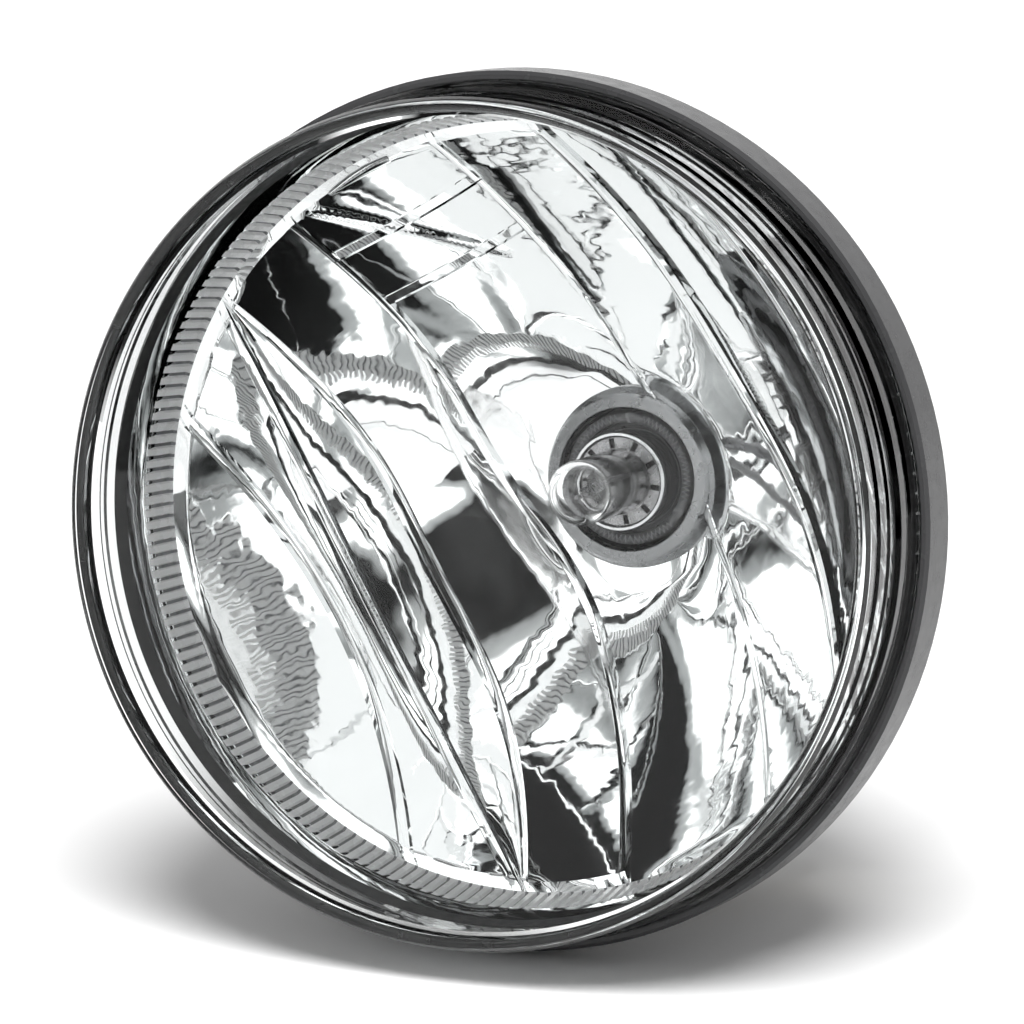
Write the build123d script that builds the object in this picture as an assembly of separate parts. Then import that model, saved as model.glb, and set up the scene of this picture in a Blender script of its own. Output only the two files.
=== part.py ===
from build123d import *
import math
import os

# Round vehicle fog light. Units are millimetres.
# Frame: the optical axis is Y and the lamp looks towards -Y; +Z is up as fitted and
# +X is on the right for someone facing the lens. The origin is on the optical axis,
# in the rear mounting face of the bracket, at the centre of its four bolts.
# A "depth" is measured back along the axis from the front crest of the lens.

# ---- driving sizes: overall -------------------------------------------------------
crest_radius = 57.0          # front edge of the lens
bowl_depth = 41.5            # reflector's mouth to its vertex
skirt_foot_depth = 22.5      # crest to the rear end of the lens skirt

# ---- lens -------------------------------------------------------------------------
lens_wall = 2.6              # thickness of the lens face
lens_dome = 4.0              # how far the face bulges from its edge to its centre
lens_corner = 0.6            # bevel inside, where face and skirt meet
face_edge_depth = 1.9        # depth at which the face meets the front bead
crest_width = 2.1            # radial width of the front bead
bead_flare = 0.9             # how far the bead stands outside its crest
bead_root = 0.3              # and the skirt just behind it
bead_root_length = 0.4
skirt_wall = 1.2             # between the crest's radius and the inside of the skirt
skirt_steps = ((0.7, 6.5), (1.0, 9.5), (1.7, 12.0), (2.0, 15.1))   # (beyond crest radius, depth)
skirt_step_length = 0.5
foot_wall = 3.05             # thickness of the skirt's foot, in the housing's channel
gasket_length = 2.5

# ---- housing rim and glue channel -------------------------------------------------
glue_gap = 0.45              # adhesive between the skirt's foot and the channel wall
glue_bed = 1.0               # adhesive under the foot
glue_setback = 0.6           # adhesive stops this far inside the rim
rim_wall = 1.1
rim_bevel = 0.5
rim_overlap = 4.1            # how far the rim reaches up over the foot
rim_floor = 2.8              # plastic behind the channel

# ---- reflector --------------------------------------------------------------------
ring_gap = 0.2               # fluted ring inside the lens skirt
ring_wall = 1.4
lip_wall = 0.4               # thinner lip at the very front of the ring
lip_length = 4.4
flute_taper = 1.0            # how far the fluted wall closes in from front to rear
mouth_shelf = 0.08           # between the fluted wall and the bowl
mouth_setback = 3.5          # skirt foot to the mouth of the bowl
reflector_wall = 2.2
column_edges = (12.0, 26.0, 40.0)      # edges of the optical columns, either side of centre
column_steps = (0.0, 0.8, 0.0, 0.8)    # how far forward each column stands, centre first
ledge_insets = (16.5, 8.8)             # two level ledges in the centre column, below the mouth
ledge_step = 0.6
shoulder_clearance = 0.3     # reflector's shoulder inside the housing
shoulder_thickness = 0.4
reflector_neck_wall = 1.8
reflector_neck_gap = 2.9     # reflector's neck to the front of the bayonet catch

# ---- rear housing -----------------------------------------------------------------
housing_gap = 0.9            # air between reflector and housing
housing_wall = 2.1
neck_wall = 3.95
neck_length = 7.3            # behind the front face of the bayonet catch
catch_setback = 5.0          # bowl's vertex to the bayonet catch
catch_thickness = 2.0

# ---- reflector screws -------------------------------------------------------------
reflector_screw_count = 3
reflector_screw_inset = 8.0  # screw circle, inside the crest's radius
reflector_screw_radius = 1.5
reflector_screw_head = 2.9
reflector_screw_head_height = 1.8
reflector_screw_length = 7.0
reflector_screw_boss = 4.0
reflector_screw_standout = 4.2   # boss face behind the housing's surface at the screw
reflector_post_radius = 2.6
post_start = -90.0           # angle of the first screw, away from the adjuster
post_clearance = 0.2         # reflector's post in its boss
screw_floor = 3.0            # plastic under each screw head, with the post's clearance
screw_hole_clearance = 0.3
screw_tip_space = 0.5
screw_key_radius = 1.4       # hexagon recess, corner to centre
screw_key_depth = 1.2

# ---- bulb -------------------------------------------------------------------------
glass_radius = 4.6
glass_wall = 0.8
glass_ahead = 9.0            # tip of the capsule in front of the filament
glass_in_base = 5.2          # base seat forward to the rear of the glass
filament_length = 4.4
filament_radius = 0.9
filament_bore = 0.6
support_radius = 0.35
stem_length = 3.6            # pinched glass inside the capsule
disc_width = 1.7             # glass to the inside of the cup
disc_thickness = 0.6
disc_setback = 0.5
disc_slot_width = 0.8
disc_slot_margin = 0.15      # metal left at each end of a slot
disc_slot_count = 10
cup_wall = 0.6
cup_length = 6.6
cup_roll = 0.3               # rolled front edge
cup_space = 1.1              # cup to the inside of the base ring
base_ring_width = 1.4
base_ring_length = 2.2
base_in_hole = 0.6           # radial space between base ring and reflector
seat_setback = 5.7           # seat of the cup in front of the bayonet catch
pip_radius = 0.75
pip_height = 0.25
barrel_over_ring = 1.3
barrel_clearance = 0.3       # barrel in the catch's bore
lug_count = 3
lug_reach = 2.0              # lugs beyond the barrel
lug_thickness = 2.1
lug_angle = 16.0             # degrees of arc that each lug covers
lug_clearance = 0.2          # round a lug as it passes through the catch
lug_slot_extra = 5.0         # degrees by which a slot is wider than a lug
lug_tip_clearance = 0.35     # lugs inside the neck's bore
unlock_turn = 40.0           # degrees from locked to free
base_flange_inset = 0.5      # flange inside the neck's outer edge
base_flange_thickness = 2.6
wing_length = 2.5            # grip wings beyond and inside the flange's edge
wing_half_width = 4.5
wing_height = 3.4
seal_width = 2.8
seal_depth = 1.2             # groove in the barrel
seal_land = 0.6              # either side of the groove, and wider barrel behind it
seal_bevel = 0.7

# ---- connector --------------------------------------------------------------------
shroud_width = 20.0
shroud_thickness = 14.4
shroud_wall = 2.0
shroud_front_wall = 1.7
shroud_drop = 32.0           # axis to the open end
shroud_top = 10.5            # axis to the closed end
shroud_corner = 2.2
shroud_neck_inset = 1.6      # narrower upper part
shroud_collar = 3.5          # wider part beyond the cavity's floor
cavity_depth = 15.0
key_half_width = 3.0
key_height = 1.6
key_span = (5.0, 9.0)        # above the open end
blade_width = 2.3
blade_thickness = 0.8
blade_spacing = 7.0
blade_length = 11.5
frame_width = 1.2            # silicone frame at the root of the blades
frame_height = 2.0

# ---- tilt pivots ------------------------------------------------------------------
pivot_ahead = 13.0           # pivots in front of the bowl's vertex
shoulder_radius = 2.6
shoulder_step = 0.65         # shoulder down to the thread
pivot_head_over = 0.8        # head beyond the shoulder
pivot_head_height = 1.3
pivot_head_bevel = 0.4
pivot_key_radius = 1.7
pivot_key_depth = 0.9
bush_wall = 0.8
bush_flange = 0.5
bush_flange_over = 0.9
pivot_washer = 0.5
pivot_washer_width = 1.8
insert_wall = 1.2
insert_length = 3.2
insert_relief = 0.4
boss_over_cheek = 1.0

# ---- bracket ----------------------------------------------------------------------
ring_width = 3.5
ring_thickness = 4.0
cheek_thickness = 2.4
cheek_over_shoulder = 2.4    # half width of a cheek beyond the pivot's shoulder
cheek_clearance = 0.28       # cheek to the bowl of the housing
cheek_straight = 5.0         # straight part of a cheek behind the pivot
arm_bevel = 0.5
cheek_splay = 0.8            # at the mounting face, outside the ring
bolt_spacing_x = 50.0
bolt_spacing_z = 66.0
bolt_hole_radius = 2.75
bolt_in_ring = 0.6           # bolt circle inside the ring's outer edge
sleeve_wall = 1.2
bolt_boss_wall = 2.1
bolt_boss_length = 8.0
bolt_boss_clearance = 1.6    # bolt bosses to the bowl of the housing

# ---- aim adjuster -----------------------------------------------------------------
aim_screw_radius = 2.5
aim_screw_ahead = 6.5        # tip of the screw in front of the pivots
aim_tip_bevel = 0.6
tab_thickness = 2.4
tab_setback = 1.0            # tab in front of the mounting face
tab_over_screw = 3.5
aim_nut_wall = 1.3
aim_nut_half_length = 6.5
aim_nut_clearance = 3.7      # barrel nut to the bowl of the housing
aim_slot_clearance = 0.7     # screw in the housing's slot
lug_wall = 1.2
knob_over_screw = 3.2
knob_length = 7.0
knob_end_wall = 1.5
knob_bevel = 0.7
knob_flute_count = 10
knob_flute_radius = 1.1
knob_flute_offset = 0.35     # centre of each flute outside the knob
knob_key_radius = 2.0
clip_over_screw = 1.7
clip_groove = 0.6
clip_thickness = 0.6
clip_mouth = 1.5
aim_washer_thickness = 0.6

# ---- vent -------------------------------------------------------------------------
vent_over_neck = 9.0         # centre of the vent outside the neck
vent_radius = 4.6
vent_bore = 2.2
vent_standout = 6.2
vent_cap_over = 2.6
vent_cap_length = 6.0
vent_cap_grip = 3.0
vent_cap_wall = 0.9
vent_cap_bevel = 1.2
vent_notch = 1.0
vent_well = 1.2
vent_skirt = 1.0
membrane_thickness = 0.5

# ---- fits and cuts ----------------------------------------------------------------
running = 0.05               # radial clearance of a turning fit
slip = 0.05                  # gap where one fixed piece drops over another
thread_clearance = 0.1       # open thread between the adjuster screw and its nut
face_gap = 0.03              # gap between faces that turn against each other
bowl_flare = (1.5, 0.1, 0.8)     # focal length added from bowl to bowl, inside outwards
over = 1.0                   # how far a cutter runs past the face it cuts
root = 10.0                  # how far a boss is sunk before the bowl is hollowed


def parabola_radius(focal, vertex, depth):
    return math.sqrt(4 * focal * (vertex - depth))


# ---- sizes that follow: front -----------------------------------------------------
skirt_inner_radius = crest_radius - skirt_wall
foot_radius = skirt_inner_radius + foot_wall
channel_outer_radius = foot_radius + glue_gap
rim_radius = channel_outer_radius + rim_wall
rim_front_depth = skirt_foot_depth - rim_overlap
channel_floor_depth = skirt_foot_depth + glue_bed
rim_rear_depth = channel_floor_depth + rim_floor
lip_depth = skirt_steps[-1][1]
reflector_ring_radius = skirt_inner_radius - ring_gap
lip_radius = reflector_ring_radius - lip_wall
flute_radius = reflector_ring_radius - ring_wall
flute_rear_radius = flute_radius - flute_taper
mouth_radius = flute_rear_radius - mouth_shelf
mouth_depth = skirt_foot_depth + mouth_setback
vertex_depth = mouth_depth + bowl_depth
focal_length = mouth_radius ** 2 / (4 * bowl_depth)
focus_depth = vertex_depth - focal_length

# The three nested bowls as (focal length, vertex depth). Each outer one is a slightly
# flatter paraboloid set further back, so the wall stays nearly even from mouth to vertex.
reflector_back = (focal_length + bowl_flare[0], vertex_depth + reflector_wall)
housing_inside = (reflector_back[0] + bowl_flare[1], reflector_back[1] + housing_gap)
housing_outside = (housing_inside[0] + bowl_flare[2], housing_inside[1] + housing_wall)


def housing_radius(depth):
    """Outside radius of the housing's bowl at a depth."""
    return parabola_radius(*housing_outside, depth)


def housing_depth(radius):
    """Depth of the outside of the housing's bowl at a radius."""
    return housing_outside[1] - radius ** 2 / (4 * housing_outside[0])


# ---- sizes that follow: bulb and neck, from the glass outwards --------------------
catch_depth = vertex_depth + catch_setback
catch_rear = catch_depth + catch_thickness
neck_rear_depth = catch_depth + neck_length
base_seat_depth = catch_depth - seat_setback
base_front_depth = base_seat_depth - base_ring_length
cup_front_depth = base_seat_depth - cup_length
glass_tip_depth = focus_depth - glass_ahead
glass_rear_depth = base_seat_depth - glass_in_base
stem_front = glass_rear_depth - stem_length
cup_radius = glass_radius + disc_width + cup_wall
base_ring_radius = cup_radius + cup_space + base_ring_width
bulb_hole_radius = base_ring_radius + base_in_hole
base_barrel_radius = base_ring_radius + barrel_over_ring
catch_bore_radius = base_barrel_radius + barrel_clearance
lug_radius = base_barrel_radius + lug_reach
neck_bore_radius = lug_radius + lug_tip_clearance
neck_outer_radius = neck_bore_radius + neck_wall
base_flange_radius = neck_outer_radius - base_flange_inset
flange_front = neck_rear_depth + face_gap
flange_rear = flange_front + base_flange_thickness
groove_front = catch_rear + seal_land
cavity_floor = cavity_depth - shroud_drop
cavity_middle = flange_rear + (shroud_thickness + shroud_front_wall - shroud_wall) / 2
vent_height = neck_outer_radius + vent_over_neck
vent_rear_depth = housing_depth(vent_height - vent_radius) + vent_standout
vent_cap_radius = vent_radius + vent_cap_over
reflector_screw_circle = crest_radius - reflector_screw_inset
reflector_screw_rear = housing_depth(reflector_screw_circle) + reflector_screw_standout

# ---- sizes that follow: pivots, bracket and adjuster ------------------------------
pivot_depth = vertex_depth - pivot_ahead
pivot_thread_radius = shoulder_radius - shoulder_step
pivot_head_radius = shoulder_radius + pivot_head_over
bush_radius = shoulder_radius + running + bush_wall
insert_radius = pivot_thread_radius + insert_wall
cheek_half_width = shoulder_radius + cheek_over_shoulder   # also its radius round the pivot
pivot_boss_radius = cheek_half_width + boss_over_cheek
cheek_inner = housing_radius(pivot_depth - cheek_half_width) + cheek_clearance
cheek_outer = cheek_inner + cheek_thickness
pivot_face = cheek_inner - pivot_washer - 2 * face_gap
bolt_circle_radius = math.hypot(bolt_spacing_x, bolt_spacing_z) / 2
sleeve_radius = bolt_hole_radius + sleeve_wall
bolt_boss_radius = sleeve_radius + bolt_boss_wall
bolt_boss_front = housing_depth(bolt_circle_radius - bolt_boss_radius - bolt_boss_clearance)
mount_depth = bolt_boss_front + bolt_boss_length
ring_outer_radius = bolt_circle_radius + bolt_in_ring
ring_inner_radius = ring_outer_radius - ring_width
cheek_bend_depth = pivot_depth + cheek_straight
aim_nut_radius = aim_screw_radius + aim_nut_wall
aim_reach = aim_nut_radius + running + lug_wall
aim_drop = housing_radius(pivot_depth - aim_reach) + aim_nut_clearance + aim_nut_radius
aim_tip_depth = pivot_depth - aim_screw_ahead
tab_rear = mount_depth - tab_setback
tab_front = tab_rear - tab_thickness
tab_radius = aim_screw_radius + tab_over_screw
knob_front = tab_rear + aim_washer_thickness + 2 * face_gap
knob_rear = knob_front + knob_length
knob_radius = aim_screw_radius + knob_over_screw
clip_radius = aim_screw_radius + clip_over_screw
clip_front = tab_front - face_gap - clip_thickness


def y_at(depth):
    """Y coordinate of a depth behind the lens crest."""
    return depth - mount_depth


def points_at(*pairs):
    """(radius, depth) pairs as points of a profile drawn beside the Y axis."""
    return [(radius, y_at(depth)) for radius, depth in pairs]


def turned(*pairs):
    """Solid of revolution about the optical axis from straight-sided (radius, depth) pairs."""
    return revolve(make_face(Polyline(*points_at(*pairs), close=True)), Axis.Y)


def parabola(focal, vertex, start_depth, end_depth):
    """Exact parabola in the profile plane between two depths, as one Bezier arc."""
    start, end = (parabola_radius(focal, vertex, d) for d in (start_depth, end_depth))
    t0, t1 = start / (2 * focal), end / (2 * focal)
    pole = (focal * (t0 + t1), vertex - focal * t0 * t1)
    return Bezier(*points_at((start, start_depth), pole, (end, end_depth)))


def bowl_behind(front, start_depth, focal, vertex):
    """Solid of revolution: straight sides through the front pairs, then a paraboloid."""
    start = (parabola_radius(focal, vertex, start_depth), start_depth)
    sides = Polyline(*points_at((0, vertex), *front, start))
    curve = parabola(focal, vertex, start_depth, vertex)
    return revolve(make_face([*sides.edges(), curve]), Axis.Y)


def bowl(focal, vertex, front_depth):
    """Filled paraboloid from its front plane to its vertex."""
    return bowl_behind([(0, front_depth)], front_depth, focal, vertex)


def along_y(radius, front_depth, rear_depth, x=0, z=0):
    """Cylinder parallel to the optical axis."""
    length = rear_depth - front_depth
    middle = y_at((front_depth + rear_depth) / 2)
    return Pos(x, middle, z) * Rot(90, 0, 0) * Cylinder(radius, length)


def along_x(radius, start, end, depth, z=0):
    """Cylinder parallel to X."""
    return Pos((start + end) / 2, y_at(depth), z) * Rot(0, 90, 0) * Cylinder(radius, end - start)


def block(x_range, depth_range, z_range):
    """Box between limits in x, depth and z."""
    spans = (x_range, tuple(y_at(d) for d in depth_range), z_range)
    centre = [(low + high) / 2 for low, high in spans]
    size = [high - low for low, high in spans]
    return Pos(*centre) * Box(*size)


def dome_arc(edge_radius, edge_y, height):
    """Spherical arc in the profile plane, from the axis out to its edge."""
    sphere = (edge_radius ** 2 + height ** 2) / (2 * height)
    half = math.asin(edge_radius / sphere) / 2
    middle = (sphere * math.sin(half), edge_y - height + sphere * (1 - math.cos(half)))
    return ThreePointArc((0, edge_y - height), middle, (edge_radius, edge_y))


def around(count, start_angle, make):
    """Sum of copies of make() spaced evenly about the optical axis."""
    total = Part()
    for index in range(count):
        total += Rot(0, start_angle + index * 360 / count, 0) * make()
    return total


def both_sides(shape):
    """A right-hand shape and its mirror image in the YZ plane."""
    return Part() + shape + mirror(shape, Plane.YZ)


def lens():
    """Moulded clear cap: domed face, front bead, stepped skirt and a foot for the glue."""
    bead_outer = crest_radius + bead_flare
    bead_inner = bead_outer - crest_width
    edge_y = y_at(face_edge_depth)
    inner_y = edge_y + lens_wall
    outer_face = dome_arc(bead_inner, edge_y, lens_dome)
    inner_face = dome_arc(skirt_inner_radius - lens_corner, inner_y, lens_dome)
    bead = ThreePointArc((bead_inner, edge_y), (crest_radius, y_at(0)), (bead_outer, edge_y))
    beyond_last = bead_root
    steps = [(crest_radius + bead_root, face_edge_depth + bead_root_length)]
    for beyond, depth in skirt_steps:
        steps += [(crest_radius + beyond_last, depth - skirt_step_length),
                  (crest_radius + beyond, depth)]
        beyond_last = beyond
    steps += [(crest_radius + beyond_last, rim_front_depth), (foot_radius, rim_front_depth)]
    steps += [(foot_radius, skirt_foot_depth), (skirt_inner_radius, skirt_foot_depth)]
    skirt = Polyline(
        (bead_outer, edge_y), *points_at(*steps),
        (skirt_inner_radius, inner_y + lens_corner), (skirt_inner_radius - lens_corner, inner_y))
    axis_side = Line((0, inner_y - lens_dome), (0, edge_y - lens_dome))
    return revolve(make_face([outer_face, bead, *skirt.edges(), inner_face, axis_side]), Axis.Y)


def lens_gasket():
    """Black ring that closes the gap between the reflector's lip and the lens skirt."""
    outer = skirt_inner_radius - slip
    return turned(
        (outer, lip_depth - gasket_length), (outer, lip_depth), (lip_radius, lip_depth))


def lens_adhesive():
    """Bead of adhesive that fills the housing's channel under and outside the lens foot."""
    inner = parabola_radius(*housing_inside, rim_rear_depth) + slip
    glue_front = rim_front_depth + glue_setback
    return turned(
        (inner, skirt_foot_depth), (foot_radius, skirt_foot_depth), (foot_radius, glue_front),
        (channel_outer_radius, glue_front), (channel_outer_radius, channel_floor_depth),
        (inner, channel_floor_depth))


def reflector_cavity():
    """Inside of the bowl: one paraboloid, stepped forward from column to column."""
    inside = bowl(focal_length, vertex_depth, mouth_depth - max(column_steps) - over)
    depths = (mouth_depth, vertex_depth + over)
    edges = (0.0, *column_edges, rim_radius)
    cavity = Part()
    for step, inner, outer in zip(column_steps, edges, edges[1:]):
        strip = block((inner, outer), depths, (-rim_radius, rim_radius))
        cavity += both_sides((Pos(0, -step, 0) * inside) & strip)
    for number, inset in enumerate(ledge_insets, 1):
        height = mouth_radius - inset
        shelf = block((-column_edges[0], column_edges[0]), depths, (height, rim_radius))
        cavity -= shelf - Pos(0, -ledge_step * number, 0) * inside
    return cavity


def reflector():
    """Metallised bowl with a straight fluted ring in front and a short neck for the bulb."""
    shoulder = parabola_radius(*housing_inside, rim_rear_depth) - shoulder_clearance
    shoulder_rear = mouth_depth + shoulder_thickness
    front = [(0, lip_depth), (reflector_ring_radius, lip_depth),
             (reflector_ring_radius, skirt_foot_depth + ring_gap),
             (shoulder, channel_floor_depth - slip - slip), (shoulder, shoulder_rear)]
    shell = bowl_behind(front, shoulder_rear, *reflector_back)
    neck_rear = catch_depth - reflector_neck_gap
    shell += along_y(bulb_hole_radius + reflector_neck_wall, vertex_depth - root / 2, neck_rear)
    shell += around(reflector_screw_count, post_start, lambda: screw_hole(
        reflector_post_radius, reflector_screw_rear - root, reflector_screw_rear - screw_floor))
    shell -= turned(
        (0, lip_depth - over), (lip_radius, lip_depth - over), (lip_radius, lip_depth),
        (flute_radius, lip_depth + lip_length), (flute_rear_radius, mouth_depth),
        (0, mouth_depth))
    shell -= reflector_cavity()
    shell -= along_y(bulb_hole_radius, mouth_depth, catch_depth)
    return shell - around(reflector_screw_count, post_start, lambda: screw_hole(
        reflector_screw_radius, reflector_screw_rear - reflector_screw_length - screw_tip_space,
        reflector_screw_rear))


def screw_hole(radius, front_depth, rear_depth):
    """Cylinder on the axis of one reflector screw."""
    return along_y(radius, front_depth, rear_depth, reflector_screw_circle)


def reflector_screws():
    """Three thread-forming screws that hold the reflector in the housing."""
    def screw():
        seat = reflector_screw_rear
        top = seat + reflector_screw_head_height
        shank = screw_hole(reflector_screw_radius - slip, seat - reflector_screw_length, seat)
        head = screw_hole(reflector_screw_head, seat, top)
        recess = Pos(reflector_screw_circle, y_at(top), 0) * Rot(90, 0, 0)
        key = extrude(RegularPolygon(screw_key_radius, 6), screw_key_depth, both=True)
        return shank + head - recess * key
    return around(reflector_screw_count, post_start, screw)


def aim_lug():
    """Block under the housing that holds the barrel nut."""
    depths = (pivot_depth - aim_reach, pivot_depth + aim_reach)
    return block((-aim_reach, aim_reach), depths,
                 (-aim_drop - aim_reach, -housing_radius(depths[1]) + over))


def rear_housing():
    """Black moulded shell: rim with glue channel, bowl, neck, pivot bosses and aim lug."""
    inner_rim = parabola_radius(*housing_inside, rim_rear_depth)
    outside = [(0, rim_front_depth), (rim_radius - rim_bevel, rim_front_depth),
               (rim_radius, rim_front_depth + rim_bevel), (rim_radius, rim_rear_depth)]
    inside = [(0, rim_front_depth - over), (channel_outer_radius, rim_front_depth - over),
              (channel_outer_radius, channel_floor_depth), (inner_rim, channel_floor_depth)]
    vent_front = housing_depth(vent_height + vent_radius) - vent_radius / 2
    shell = bowl_behind(outside, rim_rear_depth, *housing_outside)
    shell += along_y(neck_outer_radius, vertex_depth - root / 2, neck_rear_depth)
    shell += both_sides(along_x(pivot_boss_radius, pivot_face - root, pivot_face, pivot_depth))
    shell += around(reflector_screw_count, post_start, lambda: screw_hole(
        reflector_screw_boss, rim_rear_depth + over, reflector_screw_rear))
    shell += aim_lug()
    shell += along_y(vent_radius, vent_front, vent_rear_depth, 0, vent_height)
    shell -= bowl_behind(inside, rim_rear_depth, *housing_inside)
    shell -= along_y(neck_bore_radius, vertex_depth - root / 2, catch_depth)
    shell -= along_y(neck_bore_radius, catch_rear, neck_rear_depth + over)
    shell -= along_y(catch_bore_radius, catch_depth - over, catch_rear + over)
    shell -= around(lug_count, 90 + unlock_turn, lambda: lug_sector(
        lug_radius + lug_clearance, lug_angle + lug_slot_extra, catch_depth - over,
        catch_rear + over))
    shell -= both_sides(along_x(
        insert_radius, pivot_face - insert_length - insert_relief, pivot_face + over, pivot_depth))
    shell -= around(reflector_screw_count, post_start, lambda: screw_hole(
        reflector_screw_radius + screw_hole_clearance, mouth_depth, reflector_screw_rear + over))
    shell -= around(reflector_screw_count, post_start, lambda: screw_hole(
        reflector_post_radius + post_clearance, mouth_depth,
        reflector_screw_rear - screw_floor + post_clearance))
    shell -= along_x(aim_nut_radius + running, -2 * aim_reach, 2 * aim_reach, pivot_depth, -aim_drop)
    slot = aim_screw_radius + thread_clearance + aim_slot_clearance
    shell -= block((-slot, slot), (pivot_depth - aim_reach - over, pivot_depth + aim_reach + over),
                   (-aim_drop - slot, -aim_drop + slot))
    shell -= along_y(vent_bore, mouth_depth, vent_rear_depth + over, 0, vent_height)
    return shell


def lug_sector(outer_radius, angle, front_depth, rear_depth):
    """Pie-slice of a disc about the optical axis, centred on +X."""
    reach = outer_radius * 1.5
    half = math.radians(angle / 2)
    wedge = make_face(Polyline(
        (0, 0), (reach, -reach * math.tan(half)), (reach, reach * math.tan(half)), close=True))
    slab = Pos(0, y_at(rear_depth), 0) * Rot(90, 0, 0) * extrude(wedge, rear_depth - front_depth)
    return slab & along_y(outer_radius, front_depth, rear_depth)


def vent_cap():
    """Rubber umbrella cap over the breather."""
    front = vent_rear_depth - vent_cap_grip
    rear = front + vent_cap_length
    cap = along_y(vent_cap_radius, front, rear, 0, vent_height)
    cap = chamfer(cap.faces().sort_by(Axis.Y)[-1].edges(), vent_cap_bevel)
    spigot = along_y(vent_radius, front - over, vent_rear_depth, 0, vent_height)
    well = along_y(vent_radius - vent_cap_wall, front, vent_rear_depth + vent_well, 0, vent_height)
    skirt = along_y(vent_cap_radius - vent_cap_wall, front - over, front + vent_skirt, 0, vent_height)
    collar = along_y(vent_radius + vent_cap_wall, front, front + 2 * vent_skirt, 0, vent_height)
    across = 2 * vent_cap_radius
    notch = block((-vent_notch, vent_notch), (front - over, front + vent_skirt + vent_notch / 2),
                  (vent_height - across, vent_height + across))
    return cap - spigot - well - skirt + (collar - spigot) - notch


def vent_membrane():
    """Breathable disc at the mouth of the breather."""
    return along_y(vent_radius - vent_cap_wall, vent_rear_depth,
                   vent_rear_depth + membrane_thickness, 0, vent_height)


def bulb_glass():
    """Clear capsule with a domed tip, open at the rear where the stem goes in."""
    def capsule(radius, tip_depth, rear_depth):
        shoulder = tip_depth + radius
        dome = ThreePointArc(*points_at(
            (0, tip_depth),
            (radius * math.sin(math.pi / 4), shoulder - radius * math.cos(math.pi / 4)),
            (radius, shoulder)))
        sides = Polyline(*points_at((radius, shoulder), (radius, rear_depth), (0, rear_depth),
                                    (0, tip_depth)))
        return revolve(make_face([dome, *sides.edges()]), Axis.Y)
    inside = capsule(glass_radius - glass_wall, glass_tip_depth + glass_wall, glass_rear_depth + over)
    return capsule(glass_radius, glass_tip_depth, glass_rear_depth) - inside


def bulb_filament():
    """Envelope of the coiled filament, lying across the axis at the focus."""
    half = filament_length / 2
    coil = along_x(filament_radius, -half, half, focus_depth)
    return coil - along_x(filament_bore, -half - over, half + over, focus_depth)


def bulb_supports():
    """Two wires from the stem to the ends of the filament."""
    offset = filament_length / 2 + support_radius
    wire = along_y(support_radius, focus_depth - filament_radius, stem_front, offset)
    return both_sides(wire)


def bulb_stem():
    """Glass pinch that closes the capsule and carries the support wires."""
    return along_y(glass_radius - glass_wall - slip, stem_front, base_seat_depth)


def bulb_disc():
    """Slotted metal washer that centres the capsule in its cup."""
    front = cup_front_depth + disc_setback
    rear = front + disc_thickness
    disc = along_y(glass_radius + disc_width - slip, front, rear)
    disc -= along_y(glass_radius + slip, front - over, rear + over)
    slot = block((glass_radius + disc_slot_margin, glass_radius + disc_width - disc_slot_margin),
                 (front - over, rear + over), (-disc_slot_width / 2, disc_slot_width / 2))
    return disc - around(disc_slot_count, 0, lambda: slot)


def bulb_cup():
    """Drawn metal cup with a rolled front edge."""
    inner = cup_radius - cup_wall
    return turned(
        (inner, cup_front_depth + cup_roll), (cup_radius, cup_front_depth),
        (cup_radius + cup_roll, cup_front_depth + 2 * cup_roll),
        (cup_radius, cup_front_depth + 4 * cup_roll), (cup_radius, base_seat_depth),
        (inner, base_seat_depth))


def bulb_base():
    """Moulded base: ring with three pips, barrel, bayonet lugs, seal groove and connector."""
    ring_inner = base_ring_radius - base_ring_width
    lug_front = catch_depth - face_gap - lug_thickness
    barrel = base_barrel_radius
    groove_rear = groove_front + seal_width
    body = turned(
        (0, base_seat_depth), (ring_inner, base_seat_depth), (ring_inner, base_front_depth),
        (base_ring_radius, base_front_depth), (base_ring_radius, lug_front - barrel_clearance),
        (barrel, lug_front - barrel_clearance), (barrel, groove_front),
        (barrel - seal_depth, groove_front), (barrel - seal_depth, groove_rear),
        (barrel + seal_land, groove_rear), (barrel + seal_land, flange_front),
        (base_flange_radius, flange_front), (base_flange_radius, flange_rear), (0, flange_rear))
    body += around(lug_count, 90, lambda: lug_sector(
        lug_radius, lug_angle, lug_front, lug_front + lug_thickness))
    pip = along_y(pip_radius, base_front_depth - pip_height, base_front_depth + pip_height,
                  base_ring_radius - base_ring_width / 2)
    body += around(3, 60, lambda: pip)
    body += connector()
    return body + both_sides(block(
        (base_flange_radius - wing_length, base_flange_radius + wing_length),
        (flange_front, flange_rear + wing_height), (-wing_half_width, wing_half_width)))


def connector():
    """Right-angle shroud that points down and opens at its lower end."""
    half = shroud_width / 2
    rear = flange_rear + shroud_thickness
    mouth = -shroud_drop
    outer = block((-half, half), (flange_rear - over / 2, rear), (mouth, shroud_top))
    outer = fillet(outer.edges().filter_by(Axis.Z), shroud_corner)
    upper = block((-half - over, half + over), (flange_rear - over, rear + over),
                  (cavity_floor + shroud_collar, shroud_top + over))
    neck = block((-half + shroud_neck_inset, half - shroud_neck_inset),
                 (flange_rear - over, rear - shroud_neck_inset), (mouth, shroud_top - over))
    cavity = block((-half + shroud_wall, half - shroud_wall),
                   (flange_rear + shroud_front_wall, rear - shroud_wall),
                   (mouth - over, cavity_floor))
    key = block((-key_half_width, key_half_width), (rear - over / 2, rear + key_height),
                (mouth + key_span[0], mouth + key_span[1]))
    return outer - (upper - neck) - cavity + key


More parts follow.
